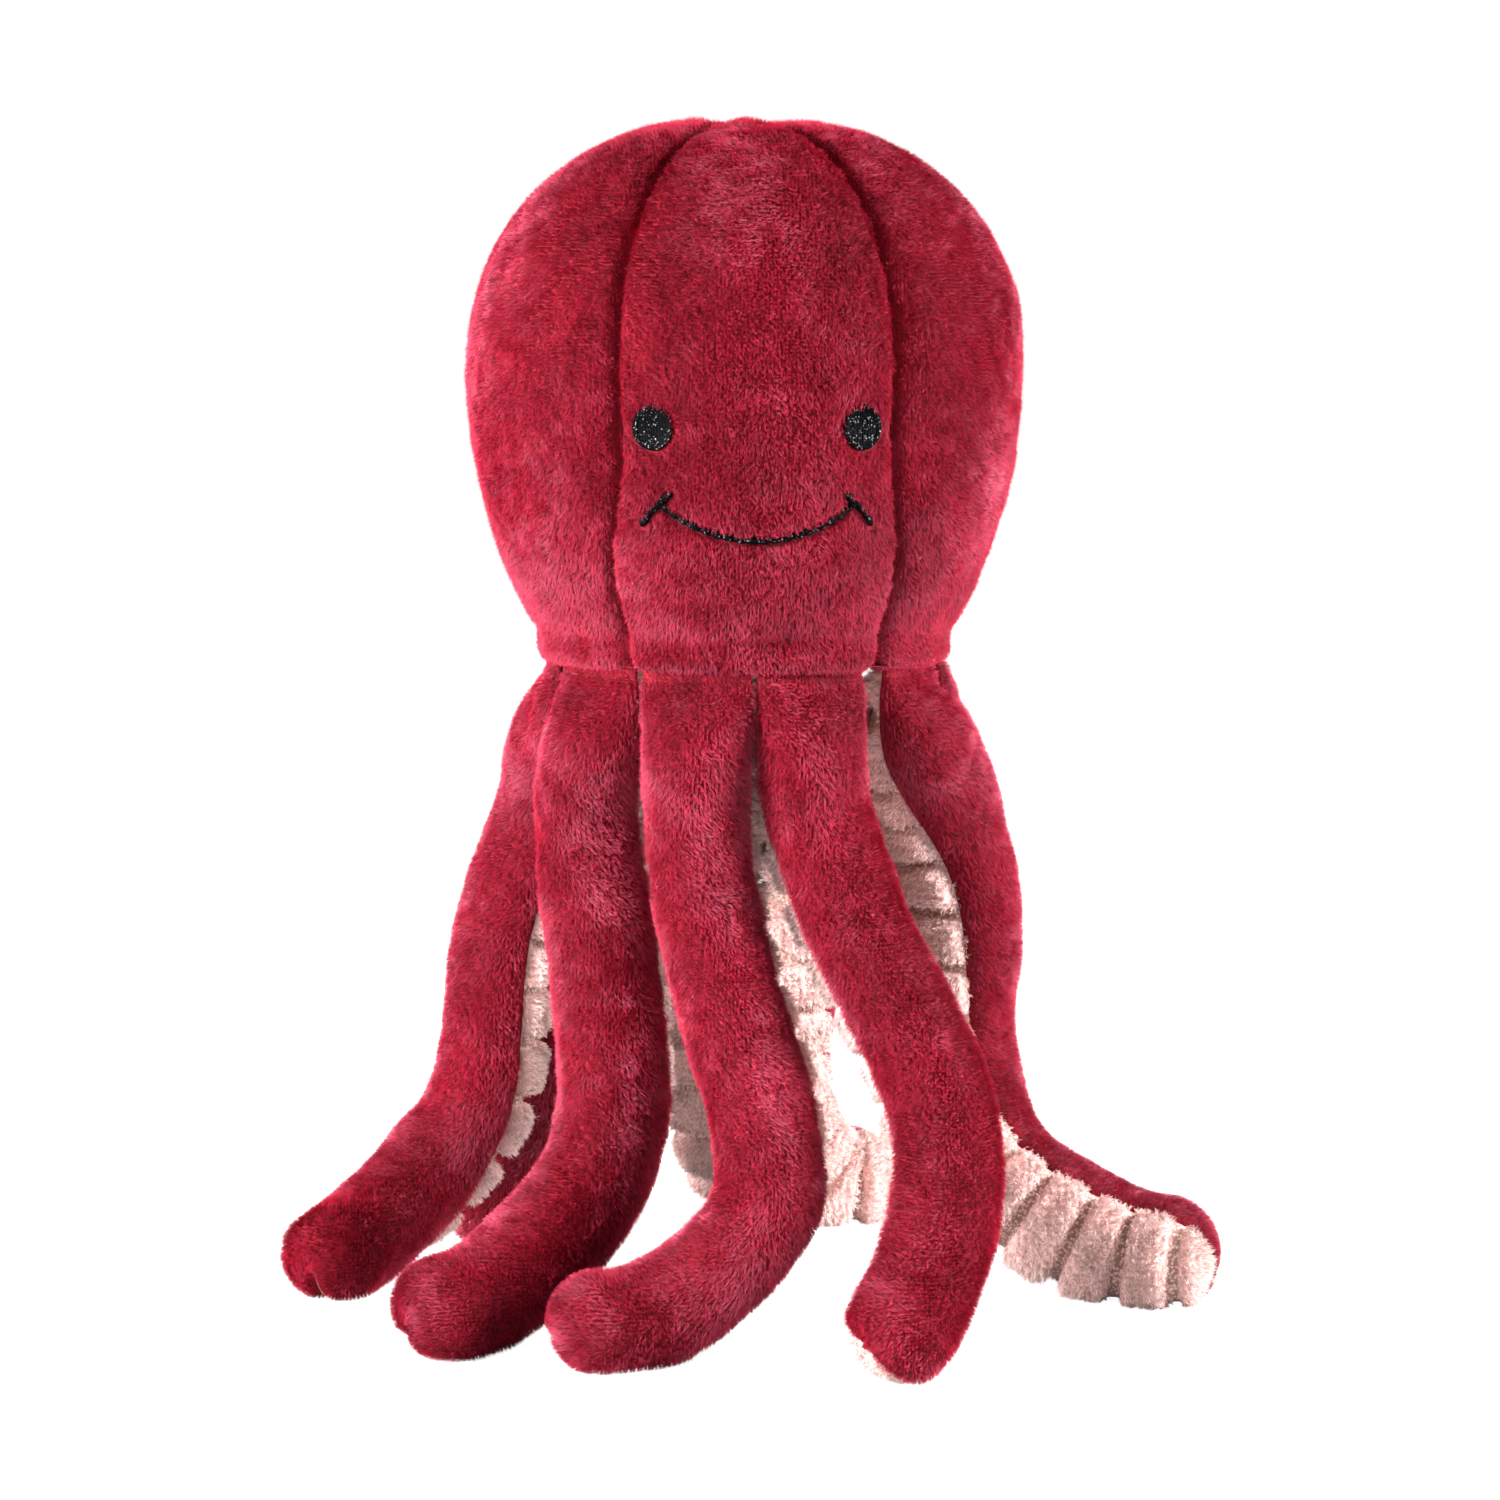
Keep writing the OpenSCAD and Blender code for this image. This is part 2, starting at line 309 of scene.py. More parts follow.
def thread_material():
    """Black embroidery thread with glitter in it."""
    material, nodes, links = node_material("glitter_thread")
    shader = nodes["Principled BSDF"]
    shader.inputs["Roughness"].default_value = 0.5
    shader.inputs["Specular IOR Level"].default_value = 0.02
    place = nodes.new("ShaderNodeTexCoord")
    cells = nodes.new("ShaderNodeTexVoronoi")
    cells.inputs["Scale"].default_value = 4200
    links.new(place.outputs["Object"], cells.inputs["Vector"])
    split = nodes.new("ShaderNodeSeparateColor")
    links.new(cells.outputs["Color"], split.inputs["Color"])
    colour = ramp_node(
        nodes, links, split.outputs["Red"], [(0.968, (0.0015, 0.0015, 0.002)), (0.996, (0.4, 0.4, 0.42))]
    )
    links.new(colour.outputs["Color"], shader.inputs["Base Color"])
    metal = ramp_node(nodes, links, split.outputs["Red"], [(0.968, (0, 0, 0)), (0.996, (1, 1, 1))])
    links.new(metal.outputs["Color"], shader.inputs["Metallic"])
    bump = bump_node(nodes, links, split.outputs["Green"], 0.5, 0.15 * MM)
    links.new(bump.outputs["Normal"], shader.inputs["Normal"])
    return material


def fleece_material():
    """Fleece with ribs: fluffy where the rib attribute is high, and knitted ground between."""
    material = cloth_material("pink_fleece", (0.60, 0.34, 0.31), (0.90, 0.68, 0.64), (1, 1, 1), 0.3)
    nodes, links = material.node_tree.nodes, material.node_tree.links
    shader = nodes["Principled BSDF"]
    fluff = shader.inputs["Base Color"].links[0].from_socket
    place = nodes.new("ShaderNodeTexCoord")
    knit = nodes.new("ShaderNodeTexVoronoi")
    knit.inputs["Scale"].default_value = 900
    links.new(place.outputs["Object"], knit.inputs["Vector"])
    ground = ramp_node(
        nodes, links, knit.outputs["Distance"], [(0.25, (0.72, 0.52, 0.47)), (0.6, (0.32, 0.18, 0.15))]
    )
    rib = nodes.new("ShaderNodeAttribute")
    rib.attribute_name = "rib"
    mask = ramp_node(nodes, links, rib.outputs["Fac"], [(0.05, (0, 0, 0)), (0.35, (1, 1, 1))])
    mix = nodes.new("ShaderNodeMix")
    mix.data_type = "RGBA"
    links.new(mask.outputs["Color"], mix.inputs["Factor"])
    links.new(ground.outputs["Color"], mix.inputs[6])
    links.new(fluff, mix.inputs[7])
    links.new(mix.outputs[2], shader.inputs["Base Color"])
    return material


PLUSH = cloth_material("raspberry_plush", (0.08, 0.0005, 0.004), (0.26, 0.005, 0.018), (1, 1, 0.35), 0.15)
FLEECE = fleece_material()
FILLING = cloth_material("fibre_filling", (0.7, 0.7, 0.68), (0.9, 0.9, 0.88), (1, 1, 1), 0.2)
THREAD = thread_material()
# The plush fibre's root colour, about a tenth as bright as its tip, is painted shade deep in the pile.
PLUSH_FIBRE = fibre_material(
    "plush_fibre", root=(0.05, 0.0001, 0.002), tip=(0.47, 0.0055, 0.034),
    shine=(1, 0.34, 0.50), shine_share=0.12,
)
# The fleece fibre's darker root colour is painted shade deep in its tufts.
FLEECE_FIBRE = fibre_material(
    "fleece_fibre", root=(0.66, 0.38, 0.35), tip=(0.98, 0.81, 0.78),
    shine=(1, 0.9, 0.88), shine_share=0.06,
)


# ---- Fibres ----
def to_tuft(points, size, seed):
    """From each point to the middle of the tuft that it belongs to, in units of size."""
    side = 32
    jitter = np.random.default_rng(seed).uniform(-0.35, 0.35, (side, side, side, 3))
    cell = np.floor(points / size + 0.3 * noise(points, 2 * size, seed + 1, 3)).astype(int)
    i = cell % side
    return cell + 0.5 + jitter[i[:, 0], i[:, 1], i[:, 2]] - points / size


def fibres(name, parent, points, comb, outward, length, lean, curl, radius, material, tuft, gather):
    """Hair curves from root points. comb is each root's combing direction, lean how far it lies over, and
    gather how strongly fibres of one tuft lean together."""
    rng = np.random.default_rng(len(points))
    steps = 5
    count = len(points)
    size = length * rng.uniform(0.75, 1.1, (count, 1))
    centre = to_tuft(points, tuft, 11)
    centre = centre - outward * np.sum(centre * outward, axis=1, keepdims=True)
    drift = noise(points, 5 * MM, 12, 3) * 0.3
    stray = rng.normal(0, 0.12, (count, 3))
    way = unit(outward * (1 - lean) + comb * lean + centre * gather + drift + stray)
    keys = np.zeros((count, steps, 3))
    for s in range(steps):
        t = s / (steps - 1)
        direction = unit(outward * (1 - t) * 0.6 + way * (0.4 + t * 0.6))
        if s:
            wobble = curl * rng.normal(0, 1, (count, 3)) * size / steps
            keys[:, s] = keys[:, s - 1] + direction * size / (steps - 1) + wobble
        else:
            keys[:, s] = points - outward * 0.3 * MM
    hair = bpy.data.hair_curves.new(name)
    hair.add_curves([steps] * count)
    hair.attributes["position"].data.foreach_set("vector", keys.ravel())
    thick = hair.attributes.get("radius") or hair.attributes.new("radius", "FLOAT", "POINT")
    taper = np.tile(radius * np.linspace(1, 0.35, steps), count)
    thick.data.foreach_set("value", taper)
    hair.materials.append(material)
    thing = bpy.data.objects.new(name, hair)
    bpy.context.scene.collection.objects.link(thing)
    thing.parent = parent
    return thing


def scattered(grid, density, seed):
    """Random roots over a grid, at so many per square metre. Returns a function that reads a grid of
    values at the roots."""
    rng = np.random.default_rng(seed)
    side_a = grid[1:, :-1] - grid[:-1, :-1]
    side_b = grid[:-1, 1:] - grid[:-1, :-1]
    area = np.linalg.norm(np.cross(side_a, side_b), axis=-1)
    chosen = rng.choice(area.size, int(area.sum() * density), p=(area / area.sum()).ravel())
    row, column = np.divmod(chosen, area.shape[1])
    u = rng.uniform(0, 1, (len(chosen), 2))

    def pick(values):
        a, b = values[row, column], values[row + 1, column]
        c, d = values[row, column + 1], values[row + 1, column + 1]
        s, t = u[:, :1], u[:, 1:]
        return (a * (1 - s) + b * s) * (1 - t) + (c * (1 - s) + d * s) * t

    return pick


# ---- Head ----
def head_outline(steps):
    """Radius and height down the head, evenly spaced from the crown to the neck's edge."""
    radius, neck = head_radius - BACKING, neck_radius - BACKING
    dome_h = crown_z - BACKING - belly_z
    a = np.radians(np.linspace(0, 90, 60))
    dome_radius = radius * np.sin(a) ** (2 / dome_power)
    dome = np.stack([dome_radius, belly_z + dome_h * np.cos(a) ** (2 / dome_power)], 1)
    last = math.acos(neck / radius)
    a = np.linspace(0, last, 40)[1:]
    cheek = np.stack([radius * np.cos(a), belly_z - lower_h * np.sin(a)], 1)
    line = np.concatenate([dome, cheek, [[neck, neck_z]]])
    walked = np.append(0, np.cumsum(np.linalg.norm(np.diff(line, axis=0), axis=1)))
    even = np.linspace(0, walked[-1], 400)
    line = np.stack([np.interp(even, walked, line[:, k]) for k in (0, 1)], 1)
    window = np.hanning(31)
    padded_line = np.concatenate([np.repeat(line[:1], 15, 0), line, np.repeat(line[-1:], 15, 0)])
    soft = np.stack([np.convolve(padded_line[:, k], window / window.sum(), "valid") for k in (0, 1)], 1)
    blend = eased((even - walked[-1] * 0.5) / (walked[-1] * 0.15))[:, None]
    line = line * (1 - blend) + soft * blend
    curl = np.radians(np.linspace(10, 120, 8))[:, None]
    round_in = 5 * MM
    roll_middle = np.array([neck - round_in, neck_z + round_in - HANG])
    under = roll_middle + round_in * np.hstack([np.cos(curl), -np.sin(curl)])
    line = np.concatenate([line[line[:, 1] > neck_z + round_in - HANG], under])
    walked = np.append(0, np.cumsum(np.linalg.norm(np.diff(line, axis=0), axis=1)))
    even = np.linspace(0, walked[-1], steps)
    return np.stack([np.interp(even, walked, line[:, k]) for k in (0, 1)], 1)


def seam_azimuths(height):
    """Azimuth of each of the six seams at a height; the face panel widens towards the neck."""
    spread = 7 * eased((belly_z - 20 * MM - height) / (belly_z - neck_z - 40 * MM))
    ways = [-1, 1, 0, 0, 0, 0]
    return [np.radians(60 * k - 30 + ways[k] * spread) for k in range(6)]


HEAD_ROWS = 56
GORE_COLUMNS = 12


def head_cage():
    """The head as rings, with the same number of columns in each panel."""
    line = head_outline(HEAD_ROWS)
    line[0, 0] = max(line[0, 0], 0.8 * MM)
    seams = seam_azimuths(line[:, 1])
    seams.append(seams[0] + 2 * math.pi)
    columns = []
    for k in range(6):
        for j in range(GORE_COLUMNS):
            columns.append(seams[k] + (seams[k + 1] - seams[k]) * j / GORE_COLUMNS)
    azimuth = np.stack(columns, 1)
    puff = np.tile(np.sin(np.pi * np.arange(GORE_COLUMNS) / GORE_COLUMNS), 6)
    height = line[:, 1][:, None]
    body = eased((height - neck_z) / (30 * MM)) * eased((crown_z - height) / (12 * MM))
    radius = line[:, 0][:, None] - 1.8 * MM * (1 - puff) * body
    level = np.broadcast_to(height, radius.shape)
    grid = np.stack([radius * np.sin(azimuth), -radius * np.cos(azimuth), level], -1)
    pinned = np.zeros(grid.shape[:2], bool)
    pinned[:, ::GORE_COLUMNS] = True
    pinned[:2] = True
    pinned[-5:] = True
    return grid, pinned


def pressed_face(grid):
    """Dimples the cloth round the eyes and the smile."""
    out = grid.copy()
    inward = unit(np.stack([grid[..., 0], grid[..., 1], 0 * grid[..., 0]], -1))
    front = grid[..., 1] < 0
    depth = np.zeros(grid.shape[:2])
    for side in (-1, 1):
        x = grid[..., 0] - side * abs(eye_centre.x)
        z = grid[..., 2] - eye_centre.z
        depth += 2.2 * MM * np.exp(-(x**2 + z**2) / (8 * MM) ** 2)
        x = grid[..., 0] - side * smile_high.x
        z = grid[..., 2] - smile_high.z
        depth += 1.6 * MM * np.exp(-(x**2 + z**2) / (7 * MM) ** 2)
    drop = smile_drop_at(grid[..., 0])
    near = grid[..., 2] - drop
    inside = np.abs(grid[..., 0]) < smile_high.x
    depth += np.where(inside, 1.2 * MM * np.exp(-((near / (3 * MM)) ** 2)), 0)
    return out - inward * (depth * front)[..., None]


smile_half = smile_high.x
smile_sag = smile_high.z - smile_low.z
smile_round = (smile_half**2 + smile_sag**2) / (2 * smile_sag)


def smile_drop_at(x):
    """Height of the smile's line at x."""
    x = np.clip(x, -smile_half, smile_half)
    return smile_low.z + 1 * MM + smile_round - np.sqrt(smile_round**2 - x**2)


def tick_line(node):
    """Points [x, z] along one of the smile's end strokes, from its outer low end to its inner high end."""
    low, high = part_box(node)
    side = math.copysign(1, low.x)
    outer, inner = (high.x, low.x) if side > 0 else (low.x, high.x)
    t = np.linspace(0, 1, 12)
    line = np.stack([outer + (inner - outer) * t, low.z + (high.z - low.z) * t], 1)
    line[:, 0] += side * 0.8 * MM * np.sin(math.pi * t)
    return line


def head_panels(cage):
    """Fine skins of the six panels, each tucked in along its seams."""
    rows, columns = ((230, 96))
    height_places = np.linspace(0, HEAD_ROWS - 1, rows)
    panels = {}
    for k, name in enumerate(PANELS):
        places = k * GORE_COLUMNS + np.linspace(0, GORE_COLUMNS, columns)
        fine = along(cage, height_places)
        fine = along(fine.transpose(1, 0, 2), places, wrap=True).transpose(1, 0, 2)
        out = normals_of(fine)
        width = np.linalg.norm(np.diff(fine, axis=1), axis=-1).sum(axis=1)[:, None]
        t = np.linspace(0, 1, columns)[None, :]
        edge = np.minimum(t, 1 - t) * width
        crease = 2.6 * MM * np.exp(-((edge / (1.8 * MM)) ** 2)) + 0.8 * MM * np.exp(-((edge / (7 * MM)) ** 2))
        crease = crease * np.minimum(1, width / (12 * MM))
        lumps = 1.0 * MM * noise(fine, 30 * MM, 21) + 0.4 * MM * noise(fine, 9 * MM, 22)
        lumps = lumps * eased(edge / (5 * MM))
        pile = 0.25 * MM * noise(fine * [1, 1, 0.5], 1.7 * MM, 23) * eased(edge / (2 * MM))
        inward = unit(np.array([0, 0, belly_z - 30 * MM]) - fine)
        base = fine + out * lumps[..., None] + inward * crease[..., None]
        base = pressed_face(base) if name == "face_panel" else base
        panels[name] = (base, base + out * pile[..., None], out, edge)
    return panels


def make_head(panels):
    for number, (name, (base, skin, out, edge)) in enumerate(panels.items()):
        rows, columns = skin.shape[:2]
        thing = mesh_object("plush_" + name, skin, grid_faces(rows, columns), PLUSH)
        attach(thing, "head")
        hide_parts(name)
        grow_plush(thing, base, out, edge, 100 + number, swirl=30)


def face_hidden(points):
    """True where embroidery takes the place of the pile."""
    hidden = np.zeros(len(points), bool)
    if points[:, 1].min() > 0:
        return hidden
    front = points[:, 1] < 0
    for side in (-1, 1):
        x = (points[:, 0] - side * abs(eye_centre.x)) / (eye_high.x - eye_low.x)
        z = (points[:, 2] - eye_centre.z) / (eye_high.z - eye_low.z)
        hidden |= front & (x**2 + z**2 < 0.25)
    near = np.abs(points[:, 2] - smile_drop_at(points[:, 0]) - 0.5 * MM) < 1.7 * MM
    hidden |= front & near & (np.abs(points[:, 0]) < smile_half)
    for node in ("left_smile_tick", "right_smile_tick"):
        gap = points[:, None, [0, 2]] - tick_line(node)
        hidden |= front & (np.linalg.norm(gap, axis=-1).min(axis=1) < 1.5 * MM)
    return hidden


def grow_plush(thing, base, out, edge, seed, swirl):
    """Pile over a skin, combed along its rows' run but turned to either side in broad patches."""
    pick = scattered(base, PLUSH_DENSITY, seed)
    points, normal = pick(base), unit(pick(out))
    down = unit(pick(np.gradient(base, axis=0)))
    side = np.cross(normal, down)
    turn = np.radians(swirl) * noise(points, 38 * MM, 71)[:, None] * 1.6
    comb = unit(down * np.cos(turn) + side * np.sin(turn))
    inward = pick(edge[..., None])[:, 0]
    kept = ~face_hidden(points) & (inward > 0.5 * MM)
    at_hem = np.abs(points[kept][:, 2] - neck_z + HANG) < 2 * MM
    size = PILE * (0.4 + 0.6 * eased(inward[kept] / (3.5 * MM)))[:, None] * (1 - 0.4 * at_hem[:, None])
    lean = 0.5 + 0.14 * noise(points[kept], 45 * MM, 72)[:, None]
    fibres(
        "pile_" + thing.name, thing, points[kept], comb[kept], normal[kept],
        size, lean, 0.12, 0.055 * MM, PLUSH_FIBRE, tuft=1.1 * MM, gather=0.5,
    )


# ---- Tentacles: the CAD's routes, with each root moved inwards and up into the neck ----
tentacle_azimuths = [-92, -52, -17, 17, 58, -146, 158, 108]
tentacle_turns = [40, 20, -60, -40, 14, 34, 10, -16]
tentacle_rolls = [0, -40, -45, -35, -75, -70, 0, -100]
tentacle_routes = [  # millimetres outwards from the neck's axis, to the left of outwards, and up
    [(63, -21, 160), (79, -25, 112), (87, -25, 60), (107, -18, 30), (129, 10, 14), (140, 30, 13)],
    [(58, -8, 160), (60, 2, 112), (64, 10, 70), (76, 10, 42), (111, 7, 16), (144, 10, 13)],
    [(55, -1, 154), (63, 8, 116), (79, 26, 72), (91, 27, 42), (104, 0, 16), (124, -28, 13)],
    [(57, 4, 162), (71, 12, 128), (100, 27, 78), (114, 23, 44), (128, 5, 17), (137, -11, 13)],
    [(61, 18, 162), (65, 25, 129), (63, 28, 78), (77, 31, 40), (114, 41, 17), (147, 47, 13)],
    [(58, -1, 157), (69, 6, 120), (87, 13, 72), (96, 18, 36), (104, 32, 16), (110, 46, 13)],
    [(57, 17, 157), (66, 38, 120), (87, 47, 80), (97, 45, 42), (114, 43, 16), (134, 43, 13)],
    [(57, 22, 160), (40, 42, 120), (34, 52, 80), (38, 62, 44), (57, 73, 17), (83, 71, 13)],
]
tentacle_w, tentacle_t, root_w = 35 * MM, 33 * MM, 36 * MM
tip_wraps = [70, 70, 68, 10, 0, 20, 0, 0]  # degrees that the plush wraps further round at each tip
root_grip = 4 * MM
# Millimetres that each tentacle swells beyond the CAD, before BACKING is taken off.
plump = [0.8, 1, 0, 0.5, 3.5, 0, 0.5, 1.2]
ROOT_HALF = 4.8 * MM  # half thickness of a root as it shows, in its pile
ROOT_INSET = 3.4 * MM  # how much nearer than the hinge to the neck's axis a root begins
ROOT_HIDDEN = 4 * MM  # how much further up than the CAD's a root begins, inside the neck
root_swell = [42 * MM] + [26 * MM] * 7
root_tuck = (3 * MM, 14 * MM)
tip_round = 15 * MM
turn_ease, roll_ease = 1.1, 1.2
lining_flat = 0.86
CAGE_STEP = 5 * MM
SKIN_STEP = 1.0 * MM
PLUSH_CELLS, LINING_CELLS = 14, 10


def route_points(k):
    """The route of tentacle k: the sewn end, the swell under it, and then the listed points."""
    a = math.radians(tentacle_azimuths[k])
    out = np.array([math.sin(a), -math.cos(a), 0])
    left = np.array([math.cos(a), math.sin(a), 0])
    top = hinge_z + root_grip + ROOT_HIDDEN
    listed = [(hinge_radius - ROOT_INSET, 0, top), (hinge_radius - root_tuck[0], 0, hinge_z - root_tuck[1])]
    listed += [tuple(c * MM for c in point) for point in tentacle_routes[k]]
    return np.array([p[0] * out + p[1] * left + np.array([0, 0, p[2]]) for p in listed])


def spline_points(points, x):
    """Points on the CAD's spline through the route, at x from 0 to 1."""
    ends = np.concatenate([[2 * points[0] - points[1]], points, [2 * points[-1] - points[-2]]])
    s = np.clip(x, 0, 1) * (len(points) - 1)
    i = np.minimum(len(points) - 2, np.floor(s).astype(int))
    u = (s - i)[:, None]
    a, b, c, d = ends[i], ends[i + 1], ends[i + 2], ends[i + 3]
    return 0.5 * (2 * b + (c - a) * u + (2 * a - 5 * b + 4 * c - d) * u**2 + (3 * b - a - 3 * c + d) * u**3)


def rounded_end(d, radius):
    return np.where(d < radius, np.sqrt(np.maximum(0.0025, 1 - (1 - d / radius) ** 2)), 1.0)


def turned_about(v, axis, angle):
    c, s = np.cos(angle)[:, None], np.sin(angle)[:, None]
    dot = np.sum(axis * v, axis=-1, keepdims=True)
    return v * c + np.cross(axis, v) * s + axis * dot * (1 - c)


def tentacle_sections(k, distances_of):
    """Centres, directions and half sizes of tentacle k's sections, at the places that
    distances_of(length) gives."""
    points = route_points(k)
    x = np.linspace(0, 1, 400)
    walked = np.append(0, np.cumsum(np.linalg.norm(np.diff(spline_points(points, x), axis=0), axis=1)))
    length = walked[-1]
    d = distances_of(length)
    x = np.interp(d, walked, x)
    centre = spline_points(points, x)
    ahead = spline_points(points, np.minimum(1, x + 0.004))
    tangent = unit(ahead - spline_points(points, np.maximum(0, x - 0.004)))
    turn = np.radians(tentacle_azimuths[k] + tentacle_turns[k] * eased(x * turn_ease))
    level = np.stack([np.cos(turn), np.sin(turn), 0 * turn], 1)
    across = unit(level - tangent * np.sum(tangent * level, axis=1, keepdims=True))
    across = turned_about(across, tangent, np.radians(tentacle_rolls[k]) * eased(x * roll_ease))
    back = np.cross(tangent, across)
    swell = eased((d - root_grip) / root_swell[k])
    tip = rounded_end(length - d, tip_round)
    full_w, full_t = tentacle_w / 2 + plump[k] * MM, tentacle_t / 2 + plump[k] * MM
    wide = root_w / 2 + BACKING
    half_w = tip * (wide + (full_w - wide) * swell)
    half_t = tip * rounded_end(d, root_grip) * (ROOT_HALF + (full_t - ROOT_HALF) * swell)
    return length, d, centre, across, back, half_w, half_t


def cage_distances(length):
    """Even steps, closer together where the tip is round."""
    body = np.linspace(0, length - tip_round, int((length - tip_round) / CAGE_STEP) + 1)
    ease = np.sin(np.linspace(0, 90, 8)[1:] * math.pi / 180)
    return np.concatenate([body, length - tip_round + tip_round * ease])


def cage_angles(k, share):
    """Angles round each ring from the middle of the back. The plush wraps further round towards the tip."""
    seam = SEAM_SIDE + tip_wraps[k] * eased((share - 0.55) / 0.4)
    plush = seam[:, None] * np.linspace(-1, 1, PLUSH_CELLS + 1)
    lining = seam[:, None] + (360 - 2 * seam[:, None]) * np.linspace(0, 1, LINING_CELLS + 1)[1:-1]
    return np.radians(np.concatenate([plush, lining], axis=1))


def tentacle_cage(k):
    length, d, centre, across, back, half_w, half_t = tentacle_sections(k, cage_distances)
    q = cage_angles(k, d / length)[..., None]
    inset = BACKING
    w = np.maximum(half_w - inset, 0.3 * MM)[:, None, None]
    t = np.maximum(half_t - inset, 0.3 * MM)[:, None, None] * np.where(np.cos(q) < 0, lining_flat, 1)
    grid = centre[:, None] + across[:, None] * w * np.sin(q) + back[:, None] * t * np.cos(q)
    grid[..., 2] = np.maximum(grid[..., 2], 0.6 * MM)
    pinned = np.zeros(grid.shape[:2], bool)
    pinned[:, [0, PLUSH_CELLS]] = True
    pinned[:3] = True
    pinned[-1:] = True
    pinned |= grid[..., 2] < 1.5 * MM
    return grid, pinned, d, length


def tentacle_part(cage, d, length, first, cells, across_count, step):
    """A fine skin between two seams of the cage: its points, their normals, and how far along each row is."""
    rows = int(length / step)
    distance = np.linspace(0, length, rows)
    fine = along(cage, np.interp(distance, d, np.arange(len(d))))
    places = first + np.linspace(0, cells, across_count)
    fine = along(fine.transpose(1, 0, 2), places, wrap=True).transpose(1, 0, 2)
    return fine, normals_of(fine), distance


def edge_distance(fine):
    """How far each point is from the nearer side edge, along its row."""
    steps = np.linalg.norm(np.diff(fine, axis=1), axis=-1)
    walked = np.concatenate([np.zeros((len(fine), 1)), np.cumsum(steps, axis=1)], axis=1)
    return np.minimum(walked, walked[:, -1:] - walked)


def ring_middles(cage, d, distance):
    """The middle of the ring at each distance along a tentacle."""
    return along(cage, np.interp(distance, d, np.arange(len(d)))).mean(axis=1, keepdims=True)


def cover_piece(name, points, material, body, node):
    """A padded skin of a tentacle, in place of the CAD's."""
    rows, columns = points.shape[:2]
    thing = mesh_object(name, points, grid_faces(rows, columns), material)
    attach(thing, body)
    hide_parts(node)
    return thing


def make_tentacle_plush(k, cage, d, length):
    name = f"tentacle_{k + 1}"
    fine, out, distance = tentacle_part(cage, d, length, 0, PLUSH_CELLS, 56, SKIN_STEP)
    edge = edge_distance(fine)
    middle = ring_middles(cage, d, distance)
    tuck = 1.6 * MM * np.exp(-((edge / (1.8 * MM)) ** 2))
    calm = eased(distance / (20 * MM))[:, None] * eased(edge / (4 * MM))
    lumps = (1.0 * MM * noise(fine, 22 * MM, 31) + 0.4 * MM * noise(fine, 8 * MM, 32)) * calm
    pile = 0.25 * MM * noise(fine, 1.7 * MM, 33) * eased(edge / (2 * MM))
    base = fine + out * lumps[..., None] + unit(middle - fine) * tuck[..., None]
    base[..., 2] = np.maximum(base[..., 2], 0.5 * MM)
    skin = base + out * pile[..., None]
    thing = cover_piece("plush_" + name, skin, PLUSH, name, name + "_plush")
    grow_plush(thing, base, out, edge, 200 + k, swirl=25)


def make_tentacle_lining(k, cage, d, length):
    name = f"tentacle_{k + 1}"
    fine, out, distance = tentacle_part(cage, d, length, PLUSH_CELLS, LINING_CELLS, 44, SKIN_STEP * 0.8)
    edge = edge_distance(fine)
    phase = distance / RIB_PITCH
    wave = np.abs(np.sin(math.pi * phase))[:, None] + 0 * edge
    full = eased((wave - RIB_GAP) / (1 - RIB_GAP) * 1.7)
    ends = eased(distance / (12 * MM))[:, None] * eased((length - distance) / (8 * MM))[:, None]
    edge_hold = eased(edge / (4 * MM) + 0.15)
    width = edge_distance(fine).max(axis=1, keepdims=True) * 2
    full = full * eased((width - 5 * MM) / (10 * MM))
    tufts = 0.6 * MM * noise(fine, 3.0 * MM, 41) + 0.3 * MM * noise(fine, 1.5 * MM, 42)
    rise = ((RIB_HEIGHT * full - 0.8 * MM) * edge_hold + tufts * full * edge_hold) * ends
    tuck = 1.6 * MM * np.exp(-((edge / (1.2 * MM)) ** 2))
    middle = ring_middles(cage, d, distance)
    base = fine + out * rise[..., None] + unit(middle - fine) * tuck[..., None]
    base[..., 2] = np.maximum(base[..., 2], 0.4 * MM)
    lining = cover_piece("fleece_" + name, base, FLEECE, name, name + "_lining")
    lining.data.attributes.new("rib", "FLOAT", "POINT").data.foreach_set("value", full.ravel())
    pick = scattered(base, FLEECE_DENSITY, 300 + k)
    points, normal, comb = pick(base), unit(pick(out)), unit(pick(np.gradient(base, axis=0)))
    on_rib = pick(full[..., None])[:, 0] > 0.25
    fibres(
        "fluff_" + name, lining, points[on_rib], comb[on_rib], normal[on_rib],
        FLEECE_PILE, 0.25, 0.5, 0.09 * MM, FLEECE_FIBRE, tuft=2.3 * MM, gather=0.8,
    )


def make_filling(name, cage, inset, body, node, middle):
    """The stuffing inside a cover: the cover's own cage, drawn in towards its middle."""
    away = cage - middle
    far = np.linalg.norm(away, axis=-1, keepdims=True)
    grid = middle + away * np.maximum(0.1, 1 - inset / np.maximum(far, 1e-6))
    grid = grid + 0.8 * MM * noise(grid, 12 * MM, 51, 3)
    points, faces = closed_tube(grid[2:-2])
    thing = mesh_object(name, points, faces, FILLING)
    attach(thing, body)
    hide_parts(node)
    return thing


# ---- Face ----
def head_front(x, z, panel):
    """Depth of the face panel's surface at x and z."""
    flat = panel.reshape(-1, 3)
    near = (flat[:, 0] - x) ** 2 + (flat[:, 2] - z) ** 2
    i = np.argsort(near)[:6]
    weight = 1 / (near[i] + 1e-9)
    return float(np.sum(flat[i, 1] * weight) / weight.sum())


